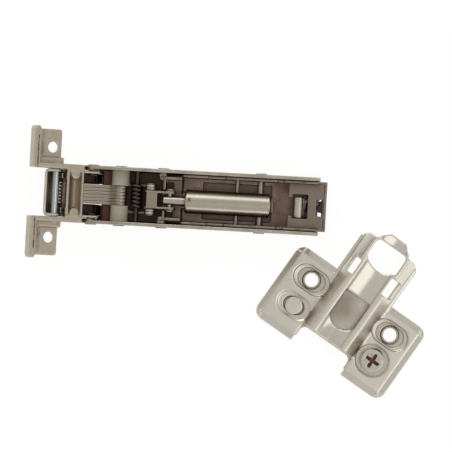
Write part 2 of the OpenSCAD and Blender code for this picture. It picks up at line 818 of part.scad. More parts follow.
// The bridge over the latch: a top plate with its window and slot, and cheeks on the latch pin
module latch_housing() {
    front = 56.2;
    rear = carrier_rear - carrier_sheet - 0.05;
    top = 10.2;
    sheet = 0.9;
    out = carrier_in - 0.05;
    color([0.55, 0.49, 0.46]) difference() {
        union() {
            translate([front, -out, top - sheet]) cube([rear - front, 2 * out, sheet]);
            both_sides(out - sheet, sheet) {
                translate([front + 0.4, carrier_floor + carrier_sheet + 0.05])
                    square([rear - front - 0.4, top - carrier_floor - carrier_sheet - 0.1]);
            }
        }
        translate([57.4, -4.3, top - 3]) cube([5.2, 8.2, 4]);
        translate([front - 1, -3.4, top - 3]) cube([3, 6.2, 4]);
        translate([65.4, -3.2, top - 3]) cube([2.2, 5.6, 4]);
        cross_bar(latch_at, latch_pin_r, -arm_w, arm_w);
    }
}

module cross_pin(at, d) {
    color(steel) cross_bar(at, d / 2, -carrier_out, carrier_out);
}

module latch_pin() {
    color(steel) cross_bar(latch_at, latch_pin_r, -carrier_out, carrier_out);
}

// The latch: two side plates on the pin, a rolled claw that grips the plate, and a finger pad
module latch_lever() {
    claw = [59.6, 7.4];
    claw_r = 1.9;
    claw_sheet = 0.8;
    half = 3.4;
    mid = -0.6;
    pad = 66.8;
    color(nickel) translate([0, mid, 0]) difference() {
        union() {
            both_sides(half - claw_sheet, claw_sheet) {
                link_outline(claw - [0, 0.6], 1.3, latch_at, 1.7);
                link_outline(latch_at, 1.7, [pad - 1, 4.4], 0.9);
            }
            upright(-half, 2 * half) difference() {
                translate(claw) circle(claw_r);
                translate(claw) circle(claw_r - claw_sheet);
                translate(claw + [-4, -5]) square([8, 4.4]);
            }
            translate([pad - 1.5, -half, 3.7]) cube([claw_sheet, 2 * half, 1.4]);
        }
        cross_bar(latch_at, latch_pin_r + pivot_clear, -arm_w, arm_w);
    }
}

// A small wire spring on the latch pin, with its legs crossed towards the rear
latch_turns = 5;
latch_wire = 0.5;
latch_coil_r = latch_pin_r + latch_wire / 2 + 0.12;
latch_coil = [for (i = [0 : latch_turns * 12])
    [latch_at.x + latch_coil_r * sin(30 * i), -1.9 + i * 0.6 / 12, latch_at.y + latch_coil_r * cos(30 * i)]];
latch_leg_x = latch_at.x + 3.6;
latch_end_y = -1.9 + 0.6 * latch_turns;
latch_path = concat([[latch_leg_x, 0.9, latch_at.y + 0.95], [latch_at.x + 0.9, -1.75, latch_at.y + 1.3]], latch_coil,
    [[latch_at.x + 0.9, latch_end_y - 0.1, latch_at.y + 1.75], [latch_leg_x, -1.6, latch_at.y + 1.5]]);

module latch_spring() {
    color(dark_steel) wire(latch_path, latch_wire / 2);
}

// A raised cross, to cut a screwdriver recess
module cross_recess(size, deep) {
    for (a = [0, 90]) rotate(a) translate([0, 0, deep / 2]) cube([size, size / 5, deep], center = true);
}

module depth_cam_screw() {
    top = carrier_floor + carrier_sheet;
    color(steel) translate([cam_x, 0, 0]) difference() {
        union() {
            translate([0, 0, 0.1]) cylinder(d = cam_head_d, h = arm_sheet);
            translate([0, cam_offset, 0.2]) cylinder(r = cam_pin_r, h = top - 0.1);
        }
        translate([0, 0, -0.5]) cross_recess(4, 1.2);
    }
}

side_shank_d = 3.4;

module side_screw() {
    color(steel) translate([side_screw_x, 0, 0]) difference() {
        union() {
            translate([0, 0, 0.1]) cylinder(d = side_screw_d, h = arm_sheet - 0.05);
            cylinder(d = side_shank_d, h = frame_floor - 0.2);
        }
        translate([0, 0, -0.5]) cross_recess(4, 1.2);
    }
}

/* Mounting plate */
wing_z = plate_sheet + 0.15;
wing_top_z = wing_z + plate_sheet;
rail_z = wing_top_z + channel_rise;
wing_rim_w = 2.1;
screw_line = sleeve_pitch / 2;
cam_line = 10.4;
stud_neck_r = 1.9;
collar_r = 2.2;
collar_offset = 1.5;
sleeve_out = sleeve_bore / 2 + 0.6;

// Draws in the plate's frame: X along the channel to the rear, Y across, origin between the sleeves
module at_plate() {
    translate([plate_x, plate_y, 0]) rotate(plate_turn) mirror([0, 1, 0]) children();
}

// Sheet section of the channel: feet, slopes, two rails and the trough between them
module channel_section() {
    foot = channel_foot_w / 2;
    top = channel_top_w / 2;
    rail = 1.9;
    dip = 0.9;
    slope = [foot, wing_top_z];
    outer = [[foot + 1, wing_top_z], slope, [top, rail_z], [top - rail, rail_z], [top - rail - 0.8, rail_z - dip]];
    inner = [for (p = [[foot + 1, wing_z], [foot - 0.7, wing_z], [top - 0.7, rail_z - plate_sheet],
        [top - rail + 0.3, rail_z - plate_sheet], [top - rail - 0.6, rail_z - dip - plate_sheet]]) p];
    n = len(outer);
    polygon(concat(outer, [for (i = [n - 1 : -1 : 0]) [-outer[i].x, outer[i].y]],
        inner_left(inner), [for (i = [n - 1 : -1 : 0]) inner[i]]));
}
function inner_left(points) = [for (p = points) [-p.x, p.y]];

// One wing of the top sheet with its bevelled rim turned down to the base
module plate_wing() {
    rim = wing_rim_w;
    foot = channel_foot_w / 2;
    out = plate_w / 2;
    difference() {
        intersection() {
            union() {
                translate([-plate_wing_front + rim, foot - 0.2, wing_z])
                    cube([plate_wing_front + plate_wing_rear - 2 * rim, out - rim - foot + 0.2, plate_sheet]);
                for (edge = [[0, 1], [1, 0], [2, 0]]) wing_rim(edge[0], rim);
            }
            translate([0, 0, -1]) linear_extrude(20)
                union() {
                    round_rect([-plate_wing_front, foot - 1], [plate_wing_rear, out], 3.5);
                    translate([-plate_wing_front, foot - 1]) square([8, 8]);
                    translate([0, foot - 1]) square([plate_wing_rear, 8]);
                }
        }
    }
}

// One sloping edge of a wing: 0 outside, 1 front, 2 rear
module wing_rim(which, rim) {
    foot = channel_foot_w / 2;
    out = plate_w / 2;
    drop = wing_top_z - 0.3;
    section = [[0, wing_top_z], [rim, wing_top_z - drop + 0.5], [rim, 0.3], [rim - 0.9, 0.3], [-0.3, wing_z], [-0.3, wing_top_z]];
    long = plate_wing_front + plate_wing_rear;
    wide = out - foot + 0.2;
    if (which == 0)
        translate([plate_wing_rear, out - rim, 0]) rotate([90, 0, -90]) linear_extrude(long)
            polygon([for (p = section) [-p.x, p.y]]);
    if (which == 1)
        translate([-plate_wing_front + rim, foot - 0.2, 0]) rotate([90, 0, 180]) linear_extrude(wide)
            polygon(section);
    if (which == 2)
        translate([plate_wing_rear - rim, out, 0]) rotate([90, 0, 0]) linear_extrude(wide)
            polygon(section);
}

// A dished place in a wing, sunk by one step, with its hole
module dish(at, len, w, deep) {
    translate([at.x, at.y, wing_top_z - deep])
        linear_extrude(deep + 1) rotate(90) slot_outline(len, w);
}

module plate_top() {
    color(nickel) at_plate() difference() {
        union() {
            difference() {
                translate([-plate_nose, 0, 0]) rotate([90, 0, 90])
                    linear_extrude(plate_nose + plate_tail) channel_section();
                plate_windows();
            }
            plate_wing();
            mirror([0, 1, 0]) plate_wing();
        }
        for (s = [-1, 1]) {
            dish([0, s * screw_line], 13, 8.4, 0.6);
            translate([0, s * screw_line, 0]) linear_extrude(9) rotate(90)
                slot_outline(2 * sleeve_out + 2 * height_travel + 1.4, 2 * sleeve_out + 0.8);
        }
        dish([-cam_line, -screw_line], 12, 8, 0.35);
        translate([-cam_line, -screw_line, 0]) linear_extrude(9) rotate(90)
            slot_outline(2 * stud_neck_r + 2 * height_travel + 0.8, 2 * stud_neck_r + 0.6);
        dish([-cam_line, screw_line], 11.6, 10.6, 0.35);
        translate([-cam_line + collar_offset * 0.75, screw_line, 0]) linear_extrude(9)
            slot_outline(2 * collar_r + collar_offset * 0.5 + 0.5, 2 * (collar_r + notch_clear));
    }
}

// Openings in the channel: the wide middle opening, the D-shaped window and the two side slots
module plate_windows() {
    top = channel_top_w / 2;
    tall = rail_z + 5;
    translate([0, 0, -1]) linear_extrude(tall + 5) {
        round_rect([-3.4, -4.6], [4.4, 4.6], 0.8);
        translate([-3.2, 0]) intersection() {
            circle(4.9);
            translate([-9, -4.6]) square([10, 9.2]);
        }
        translate([20, 0]) intersection() {
            round_rect([-5, -5.8], [4.4, 5.8], 1.6);
            translate([2.6, 0]) circle(7.4);
        }
    }
    translate([9.5, -top - 1.6, wing_top_z + 1.2]) cube([5.6, 2.4, tall]);
    translate([9.5, top - 1.4, wing_top_z + 0.9]) cube([6.4, 4, tall]);
    for (s = [-1, 1]) scale([1, s, 1]) {
        translate([plate_tail - 3.6, top - 0.9, -1]) cube([9, 9, 40]);
        translate([plate_tail, top - 0.9, -1]) rotate(45) cube([4.2, 4.2, 40], center = true);
        translate([plate_tail - 3.6, channel_foot_w / 2 + 1, -1]) rotate(45) cube([2.9, 2.9, 40], center = true);
    }
}

module plate_base() {
    in = wing_rim_w + 0.25;
    in_side = in + height_travel + 0.1;
    base_gap = channel_foot_w / 2 - 0.6;
    color(nickel) at_plate() difference() {
        linear_extrude(plate_sheet) difference() {
            round_rect([-plate_wing_front + in, -plate_w / 2 + in_side], [plate_wing_rear - in, plate_w / 2 - in_side], 3);
            for (s = [-1, 1]) translate([0, s * screw_line]) circle(sleeve_out);
            translate([-cam_line, -screw_line]) circle(stud_neck_r);
            translate([-cam_line, screw_line]) circle(stud_neck_r + pivot_clear);
            round_rect([-plate_wing_front - 9, -base_gap], [-plate_nose - 0.4, base_gap], 2);
        }
    }
}

module plate_sleeves() {
    color(steel) at_plate()
        for (s = [-1, 1]) translate([0, s * screw_line, 0]) difference() {
            union() {
                cylinder(r = sleeve_out, h = wing_top_z - 0.1);
            }
            translate([0, 0, -1]) cylinder(d = sleeve_bore, h = 9);
        }
}

module plate_guide_rivet() {
    color(steel) at_plate() translate([-cam_line, -screw_line, 0]) {
        cylinder(r = stud_neck_r, h = wing_top_z + 0.5);
        translate([0, 0, wing_top_z - 0.35 + side_clear]) cylinder(r = 2.9, h = 1.3);
    }
}

module plate_cam_screw() {
    cam_edge_r = 3.8;
    color(steel) at_plate() translate([-cam_line, screw_line, 0]) difference() {
        union() {
            cylinder(r = stud_neck_r, h = plate_sheet + 0.1);
            translate([collar_offset, 0, plate_sheet + 0.05]) cylinder(r = collar_r, h = plate_sheet + 0.2);
            translate([0, 0, wing_top_z - 0.35 + side_clear]) cylinder(r = cam_edge_r, h = 1.3);
            translate([0, 0, wing_top_z + 0.6]) cylinder(r = cam_edge_r - 0.3, h = 1);
            translate([0, 0, wing_top_z + 1.35]) cylinder(r = cam_edge_r, h = 1.9);
        }
        translate([0, 0, wing_top_z + 1.9]) cross_recess(4.8, 2);
    }
}

door_bracket();
bracket_pin();
link_pin();
link_spacers();
outer_link();
outer_link_rivets();
link_plate(1);  // link_plate_1
link_plate(2);  // link_plate_2
link_plate(3);  // link_plate_3
link_plate(4);  // link_plate_4
link_plate(5);  // link_plate_5
link_plate(6);  // link_plate_6
tail_pin();
arm_pivot_pin();
pivot_bush(1);  // pivot_bush_left
pivot_bush(-1);  // pivot_bush_right
closing_spring();
spring_pin();
arm_channel();
guide_rivets();
damper_frame();
frame_rivets();
damper_cylinder();
damper_gland();
damper_rod();
damper_piston();
damper_clevis();
clevis_pin();
clevis_washers();
rod_pin();
drive_links();
carrier_channel();
latch_housing();
cross_pin(thin_at, thin_pin_d);  // thin_cross_pin
cross_pin(thick_at, thick_pin_d);  // thick_cross_pin
latch_pin();
latch_lever();
latch_spring();
depth_cam_screw();
side_screw();
plate_base();
plate_sleeves();
plate_guide_rivet();
plate_top();
plate_cam_screw();
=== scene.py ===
import json
import math

import bmesh
import bpy
from mathutils import Matrix, Vector


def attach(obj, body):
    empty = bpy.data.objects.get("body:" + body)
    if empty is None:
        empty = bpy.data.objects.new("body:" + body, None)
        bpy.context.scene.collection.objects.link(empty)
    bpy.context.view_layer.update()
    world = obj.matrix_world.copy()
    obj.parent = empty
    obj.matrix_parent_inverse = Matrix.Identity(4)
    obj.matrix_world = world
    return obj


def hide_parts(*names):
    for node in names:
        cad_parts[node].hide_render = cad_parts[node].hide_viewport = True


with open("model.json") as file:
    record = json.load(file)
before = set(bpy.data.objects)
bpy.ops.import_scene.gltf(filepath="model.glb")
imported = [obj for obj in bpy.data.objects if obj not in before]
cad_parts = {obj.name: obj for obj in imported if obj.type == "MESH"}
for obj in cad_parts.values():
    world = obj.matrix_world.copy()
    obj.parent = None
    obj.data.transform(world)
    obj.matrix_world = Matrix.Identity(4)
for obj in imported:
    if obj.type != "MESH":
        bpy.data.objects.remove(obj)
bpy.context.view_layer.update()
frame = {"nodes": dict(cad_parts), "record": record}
nodes = frame["nodes"]
print("frame loaded:", len(nodes), "nodes")

camera = {
    "turn": math.radians(3.15),  # the arm runs slightly downhill to the right
    "centre": (0.03583, -0.00804),
    "width": 0.15067,  # what the picture spans at the height of the arm's middle
    "distance": 1.35,
    "height": 0.008,
    "sensor": 36.0,
    "clip": (0.01, 20.0),
}

# glow is the share of plain white that the camera and the polished metal see in place of the floor
floor = {"size": 6.0, "drop": 0.00004, "glow": 0.86, "white": 1.07, "colour": (0.93, 0.93, 0.92)}

light = {
    "key": {"at": (-0.25, 1.05, 0.75), "size": 0.8, "power": 2.6},
    "fill": {"at": (0.6, -0.3, 1.2), "size": 0.8, "power": 1.3},
    "strip": {"at": (0.05, -1.1, 0.42), "size": 0.45, "power": 0.5},
    "sky": 0.56,
    "skyColour": (1.0, 0.985, 0.96, 1),
}


# groups shared by the finishes

pattern = {
    "cloud": (0.38, 0.74), "speck": (0.5, 0.75),  # where stains and dots begin and are full
    "speckScale": 3200.0, "raggedScale": 1100.0, "grain": (0.3, 0.7), "bump": 0.00006,
    "hidden": (0.2, 0.95), "thin": (0.55, 0.95),  # how open a recess and the inside of an edge are
    "span": (-0.03, 0.07),  # the length along the arm that a zone's colours run over
    "blotch": (0.42, 0.36, 0.32, 1),
}


def newGroup(name, inputs, outputs):
    group = bpy.data.node_groups.new(name, "ShaderNodeTree")
    for label, kind, value in inputs:
        socket = group.interface.new_socket(name=label, in_out="INPUT", socket_type=kind)
        if value is not None:
            socket.default_value = value
    for label, kind in outputs:
        group.interface.new_socket(name=label, in_out="OUTPUT", socket_type=kind)
    start = group.nodes.new("NodeGroupInput")
    end = group.nodes.new("NodeGroupOutput")
    return group, start, end


def addNode(tree, kind, values=None, **settings):
    node = tree.nodes.new(kind)
    for key, value in settings.items():
        setattr(node, key, value)
    for key, value in (values or {}).items():
        node.inputs[key].default_value = value
    return node


def mixColour(tree, factor, first, second, blend="MIX"):
    node = addNode(tree, "ShaderNodeMix", data_type="RGBA", blend_type=blend)
    for index, source in ((0, factor), (6, first), (7, second)):
        if isinstance(source, bpy.types.NodeSocket):
            tree.links.new(source, node.inputs[index])
        else:
            node.inputs[index].default_value = source
    return node.outputs[2]


def mapRange(tree, source, low, high, toLow, toHigh):
    node = addNode(tree, "ShaderNodeMapRange", {1: low, 2: high, 3: toLow, 4: toHigh})
    tree.links.new(source, node.inputs[0])
    return node.outputs[0]


def multiply(tree, first, second):
    node = addNode(tree, "ShaderNodeMath", operation="MULTIPLY")
    for index, source in enumerate((first, second)):
        if isinstance(source, bpy.types.NodeSocket):
            tree.links.new(source, node.inputs[index])
        else:
            node.inputs[index].default_value = source
    return node.outputs[0]


def buildTarnishGroup():
    group, start, end = newGroup(
        "tarnish",
        [("Clean", "NodeSocketColor", (0.8, 0.8, 0.8, 1)),
         ("Stain", "NodeSocketColor", (0.3, 0.2, 0.15, 1)), ("Amount", "NodeSocketFloat", 0.3),
         ("Scale", "NodeSocketFloat", 60.0), ("Speckle", "NodeSocketFloat", 0.1)],
        [("Color", "NodeSocketColor"), ("Mask", "NodeSocketFloat")])
    place = addNode(group, "ShaderNodeTexCoord")
    cloud = addNode(group, "ShaderNodeTexNoise", {
        "Detail": 5.0, "Roughness": 0.6, "Distortion": 0.4})
    speck = addNode(group, "ShaderNodeTexNoise", {
        "Scale": pattern["speckScale"], "Detail": 2.0, "Roughness": 0.7})
    for texture in (cloud, speck):
        group.links.new(place.outputs["Object"], texture.inputs["Vector"])
    group.links.new(start.outputs["Scale"], cloud.inputs["Scale"])
    stains = mapRange(group, cloud.outputs["Fac"], *pattern["cloud"], 0.0, 1.0)
    patches = multiply(group, stains, start.outputs["Amount"])
    specks = mapRange(group, speck.outputs["Fac"], *pattern["speck"], 0.0, 1.0)
    dots = multiply(group, specks, start.outputs["Speckle"])
    both = addNode(group, "ShaderNodeMath", operation="ADD", use_clamp=True)
    group.links.new(patches, both.inputs[0])
    group.links.new(dots, both.inputs[1])
    mixed = mixColour(group, both.outputs[0], start.outputs["Clean"], start.outputs["Stain"])
    group.links.new(mixed, end.inputs["Color"])
    group.links.new(both.outputs[0], end.inputs["Mask"])
    return group


# painted shade: a darker colour mixed in where ambient occlusion finds hollows, creases and gaps
# between parts
def buildRecessShadeGroup():
    group, start, end = newGroup(
        "recess",
        [("Color", "NodeSocketColor", (0.8, 0.8, 0.8, 1)),
         ("Painted Shade", "NodeSocketColor", (0.1, 0.06, 0.05, 1)),
         ("Reach", "NodeSocketFloat", 0.006), ("Amount", "NodeSocketFloat", 0.8)],
        [("Color", "NodeSocketColor"), ("Mask", "NodeSocketFloat")])
    shade = addNode(group, "ShaderNodeAmbientOcclusion", samples=8)
    group.links.new(start.outputs["Reach"], shade.inputs["Distance"])
    hidden = mapRange(group, shade.outputs["AO"], *pattern["hidden"], 1.0, 0.0)
    mask = multiply(group, hidden, start.outputs["Amount"])
    mixed = mixColour(group, mask, start.outputs["Color"], start.outputs["Painted Shade"])
    group.links.new(mixed, end.inputs["Color"])
    group.links.new(mask, end.inputs["Mask"])
    return group


# painted highlight: a lighter colour mixed in along convex edges, which ambient occlusion inside
# the solid finds
def buildEdgeHighlightGroup():
    group, start, end = newGroup(
        "edgeHighlight",
        [("Color", "NodeSocketColor", (0.8, 0.8, 0.8, 1)),
         ("Painted Highlight", "NodeSocketColor", (0.9, 0.9, 0.85, 1)),
         ("Width", "NodeSocketFloat", 0.0004), ("Amount", "NodeSocketFloat", 0.5)],
        [("Color", "NodeSocketColor"), ("Mask", "NodeSocketFloat")])
    thin = addNode(group, "ShaderNodeAmbientOcclusion", samples=6, inside=True)
    group.links.new(start.outputs["Width"], thin.inputs["Distance"])
    near = mapRange(group, thin.outputs["AO"], *pattern["thin"], 1.0, 0.0)
    mask = multiply(group, near, start.outputs["Amount"])
    mixed = mixColour(group, mask, start.outputs["Color"], start.outputs["Painted Highlight"])
    group.links.new(mixed, end.inputs["Color"])
    group.links.new(mask, end.inputs["Mask"])
    return group


def buildGrainGroup():
    group, start, end = newGroup(
        "grain",
        [("Stretch", "NodeSocketVector", (1, 1, 1)), ("Scale", "NodeSocketFloat", 900.0),
         ("Depth", "NodeSocketFloat", 0.3), ("Edge", "NodeSocketFloat", 0.0002)],
        [("Value", "NodeSocketFloat"), ("Normal", "NodeSocketVector")])
    place = addNode(group, "ShaderNodeTexCoord")
    stretch = addNode(group, "ShaderNodeVectorMath", operation="MULTIPLY")
    noise = addNode(group, "ShaderNodeTexNoise", {"Detail": 3.0, "Roughness": 0.55})
    easedEdge = addNode(group, "ShaderNodeBevel", samples=4)
    bump = addNode(group, "ShaderNodeBump", {"Distance": pattern["bump"]})
    group.links.new(place.outputs["Object"], stretch.inputs[0])
    group.links.new(start.outputs["Stretch"], stretch.inputs[1])
    group.links.new(stretch.outputs[0], noise.inputs["Vector"])
    group.links.new(start.outputs["Scale"], noise.inputs["Scale"])
    group.links.new(start.outputs["Depth"], bump.inputs["Strength"])
    group.links.new(start.outputs["Edge"], easedEdge.inputs["Radius"])
    group.links.new(noise.outputs["Fac"], bump.inputs["Height"])
    group.links.new(easedEdge.outputs[0], bump.inputs["Normal"])
    group.links.new(noise.outputs["Fac"], end.inputs["Value"])
    group.links.new(bump.outputs[0], end.inputs["Normal"])
    return group


# painted shade inside a channel: a mask that is full at the bottom and fades out upwards, and the
# place along the arm for its colours
def buildInsideShadeGroup():
    group, start, end = newGroup(
        "inside",
        [("Half Width", "NodeSocketFloat", 0.0085), ("Low", "NodeSocketFloat", 0.002),
         ("High", "NodeSocketFloat", 0.011)],
        [("Mask", "NodeSocketFloat"), ("Along", "NodeSocketFloat")])
    place = addNode(group, "ShaderNodeTexCoord")
    split = addNode(group, "ShaderNodeSeparateXYZ")
    group.links.new(place.outputs["Object"], split.inputs[0])
    side = addNode(group, "ShaderNodeMath", operation="ABSOLUTE")
    group.links.new(split.outputs["Y"], side.inputs[0])
    within = addNode(group, "ShaderNodeMath", operation="LESS_THAN")
    group.links.new(side.outputs[0], within.inputs[0])
    group.links.new(start.outputs["Half Width"], within.inputs[1])
    depth = addNode(group, "ShaderNodeMapRange", {3: 1.0, 4: 0.0})
    group.links.new(split.outputs["Z"], depth.inputs[0])
    group.links.new(start.outputs["Low"], depth.inputs[1])
    group.links.new(start.outputs["High"], depth.inputs[2])
    group.links.new(multiply(group, depth.outputs[0], within.outputs[0]), end.inputs["Mask"])
    along = mapRange(group, split.outputs["X"], *pattern["span"], 0.0, 1.0)
    group.links.new(along, end.inputs["Along"])
    return group


# y is folded here, so one patch marks both sides of the arm, and its centre is given at positive y
def buildPatchGroup():
    group, start, end = newGroup(
        "patch",
        [("Centre", "NodeSocketVector", (0, 0, 0)), ("Along", "NodeSocketVector", (1, 0, 0)),
         ("Up", "NodeSocketVector", (0, 0, 1)),
         ("Half", "NodeSocketVector", (0.001, 0.001, 0.001)),
         ("Soft", "NodeSocketFloat", 0.0001), ("Ragged", "NodeSocketFloat", 0.0002)],
        [("Mask", "NodeSocketFloat")])
    place = addNode(group, "ShaderNodeTexCoord")
    rough = addNode(group, "ShaderNodeTexNoise", {"Scale": pattern["raggedScale"], "Detail": 2.0})
    group.links.new(place.outputs["Object"], rough.inputs["Vector"])
    uneven = mapRange(group, rough.outputs["Fac"], *pattern["grain"], -1.0, 1.0)
    wander = multiply(group, uneven, start.outputs["Ragged"])
    split = addNode(group, "ShaderNodeSeparateXYZ")
    group.links.new(place.outputs["Object"], split.inputs[0])
    side = addNode(group, "ShaderNodeMath", operation="ABSOLUTE")
    group.links.new(split.outputs["Y"], side.inputs[0])
    folded = addNode(group, "ShaderNodeCombineXYZ")
    for source, index in ((split.outputs["X"], 0), (side.outputs[0], 1), (split.outputs["Z"], 2)):
        group.links.new(source, folded.inputs[index])
    away = addNode(group, "ShaderNodeVectorMath", operation="SUBTRACT")
    group.links.new(folded.outputs[0], away.inputs[0])
    group.links.new(start.outputs["Centre"], away.inputs[1])
    limits = addNode(group, "ShaderNodeSeparateXYZ")
    group.links.new(start.outputs["Half"], limits.inputs[0])
    mask = 1.0
    for index, axis in enumerate((start.outputs["Along"], (0, 1, 0), start.outputs["Up"])):
        reach = addNode(group, "ShaderNodeVectorMath", operation="DOT_PRODUCT")
        group.links.new(away.outputs[0], reach.inputs[0])
        if isinstance(axis, tuple):
            reach.inputs[1].default_value = axis
        else:
            group.links.new(axis, reach.inputs[1])
        size = addNode(group, "ShaderNodeMath", operation="ABSOLUTE")
        group.links.new(reach.outputs["Value"], size.inputs[0])
        beyond = addNode(group, "ShaderNodeMath", operation="SUBTRACT")
        group.links.new(size.outputs[0], beyond.inputs[0])
        group.links.new(limits.outputs[index], beyond.inputs[1])
        strayed = addNode(group, "ShaderNodeMath", operation="ADD")
        group.links.new(beyond.outputs[0], strayed.inputs[0])
        group.links.new(wander, strayed.inputs[1])
        fade = addNode(group, "ShaderNodeMapRange", {1: 0.0, 3: 1.0, 4: 0.0})
        group.links.new(strayed.outputs[0], fade.inputs[0])
        group.links.new(start.outputs["Soft"], fade.inputs[2])
        mask = multiply(group, mask, fade.outputs[0])
    group.links.new(mask, end.inputs["Mask"])
    return group


tarnish = buildTarnishGroup()
recess = buildRecessShadeGroup()
edgeHighlight = buildEdgeHighlightGroup()
grain = buildGrainGroup()
inside = buildInsideShadeGroup()
patch = buildPatchGroup()


def placeGroup(tree, group, values):
    node = tree.nodes.new("ShaderNodeGroup")
    node.node_tree = group
    for key, value in values.items():
        node.inputs[key].default_value = value
    return node


# paints the shade inside a channel, in the zone's colours along the arm
def paintInsideShade(tree, colour, shadeZone):
    where = placeGroup(tree, inside, {
        "Half Width": shadeZone["half"], "Low": shadeZone["low"], "High": shadeZone["high"]})
    ramp = addNode(tree, "ShaderNodeValToRGB")
    first, last = pattern["span"]
    stops = shadeZone["stops"]
    while len(ramp.color_ramp.elements) < len(stops):
        ramp.color_ramp.elements.new(0.5)
    for element, (at, tint) in zip(ramp.color_ramp.elements, stops):
        element.position = (at - first) / (last - first)
        element.color = (*tint, 1)
    tree.links.new(where.outputs["Along"], ramp.inputs[0])
    return mixColour(tree, where.outputs["Mask"], colour, ramp.outputs[0])


def tintPatch(tree, colour, spot):
    cosTilt, sinTilt = math.cos(spot["tilt"]), math.sin(spot["tilt"])
    where = placeGroup(tree, patch, {
        "Centre": spot["at"], "Along": (cosTilt, 0, -sinTilt), "Up": (sinTilt, 0, cosTilt),
        "Half": spot["half"], "Soft": spot["soft"], "Ragged": spot["ragged"]})
    mask = multiply(tree, where.outputs["Mask"], spot["amount"])
    return mixColour(tree, mask, colour, (*spot["colour"], 1))


def makeFinish(name, look):
    material = bpy.data.materials.new(name)
    material.use_nodes = True
    tree = material.node_tree
    shader = tree.nodes["Principled BSDF"]
    stained = placeGroup(tree, tarnish, {
        "Clean": (*look["colour"], 1), "Stain": (*look["stain"], 1),
        "Amount": look["stainAmount"], "Scale": look["stainScale"], "Speckle": look["speckle"]})
    colour = stained.outputs["Color"]
    if "shadeZone" in look:
        colour = paintInsideShade(tree, colour, look["shadeZone"])
        blotch = multiply(tree, stained.outputs["Mask"], look["shadeZone"]["blotch"])
        colour = mixColour(tree, blotch, colour, pattern["blotch"], "MULTIPLY")
    for spot in look.get("spots", ()):
        colour = tintPatch(tree, colour, spot)
    # painted shade in the hollows, then painted highlights along the edges
    recessShaded = placeGroup(tree, recess, {
        "Painted Shade": (*look["deep"], 1), "Reach": look["reach"], "Amount": look["deepAmount"]})
    worn = placeGroup(tree, edgeHighlight, {
        "Painted Highlight": (*look["worn"], 1), "Width": look["wornWidth"], "Amount": look["wornAmount"]})
    surface = placeGroup(tree, grain, {
        "Stretch": look["stretch"], "Scale": look["grainScale"], "Depth": look["grainDepth"],
        "Edge": look["edge"]})
    tree.links.new(colour, recessShaded.inputs["Color"])
    tree.links.new(recessShaded.outputs["Color"], worn.inputs["Color"])
    tree.links.new(worn.outputs["Color"], shader.inputs["Base Color"])
    uneven = mapRange(tree, surface.outputs["Value"], *pattern["grain"], *look["rough"])
    tree.links.new(uneven, shader.inputs["Roughness"])
    tree.links.new(surface.outputs["Normal"], shader.inputs["Normal"])
    shader.inputs["Metallic"].default_value = look["metal"]
    if "glow" in look:
        shader.inputs["Subsurface Weight"].default_value = look["glow"]
        shader.inputs["Subsurface Radius"].default_value = look["glowReach"]
    return material


# looks of the metals and plastics, each given by how it differs from the satin nickel

# each look also gives the colour, reach and strength of its painted shade in hollows, and of its
# painted highlight along edges
satin = {
    "colour": (0.66, 0.62, 0.535), "stain": (0.48, 0.42, 0.34), "stainAmount": 0.35,
    "stainScale": 150.0, "speckle": 0.12, "deep": (0.075, 0.05, 0.04), "reach": 0.006,
    "deepAmount": 0.85, "worn": (0.86, 0.83, 0.75), "wornWidth": 0.0003, "wornAmount": 0.45,
    "stretch": (1, 1, 1), "grainScale": 2500.0, "grainDepth": 0.18, "edge": 0.00012,
    "rough": (0.27, 0.38), "metal": 1.0,
}

# a zone paints shade inside a channel, by stops along the arm, and fades from low to high
# its colours are painted shade, darkest at the bottom, and reddish brown as painted reflection
armInsideShade = {
    "blotch": 0.9, "half": 0.0086, "low": 0.002, "high": 0.0105,
    "stops": [(-0.012, (0.33, 0.12, 0.085)), (-0.005, (0.30, 0.105, 0.075)),
              (-0.002, (0.04, 0.033, 0.03)), (0.014, (0.05, 0.04, 0.035)),
              (0.024, (0.31, 0.225, 0.185)), (0.066, (0.35, 0.27, 0.23))],
}
carrierInsideShade = {
    "blotch": 1.0, "half": 0.0075, "low": 0.003, "high": 0.0118,
    "stops": [(0.018, (0.28, 0.205, 0.175)), (0.03, (0.46, 0.36, 0.305)),
              (0.049, (0.44, 0.34, 0.285)), (0.053, (0.27, 0.165, 0.13)),
              (0.057, (0.28, 0.205, 0.17)), (0.068, (0.27, 0.215, 0.18))],
}
trayInsideShade = {
    "blotch": 0.5, "half": 0.0068, "low": 0.003, "high": 0.0075,
    "stops": [(-0.015, (0.05, 0.035, 0.03)), (-0.004, (0.03, 0.024, 0.02))],
}

bracketPin = Vector((-0.0217, 0, 0.0103))  # where the bracket turns on the tray
bracketTilt = math.radians(20)
trayPivot = Vector((-0.0094, 0, 0.0057))  # where the tray swings on the arm


def onBracket(along, side, up):
    cosTilt, sinTilt = math.cos(bracketTilt), math.sin(bracketTilt)
    return (bracketPin.x + along * cosTilt + up * sinTilt, side,
            bracketPin.z - along * sinTilt + up * cosTilt)


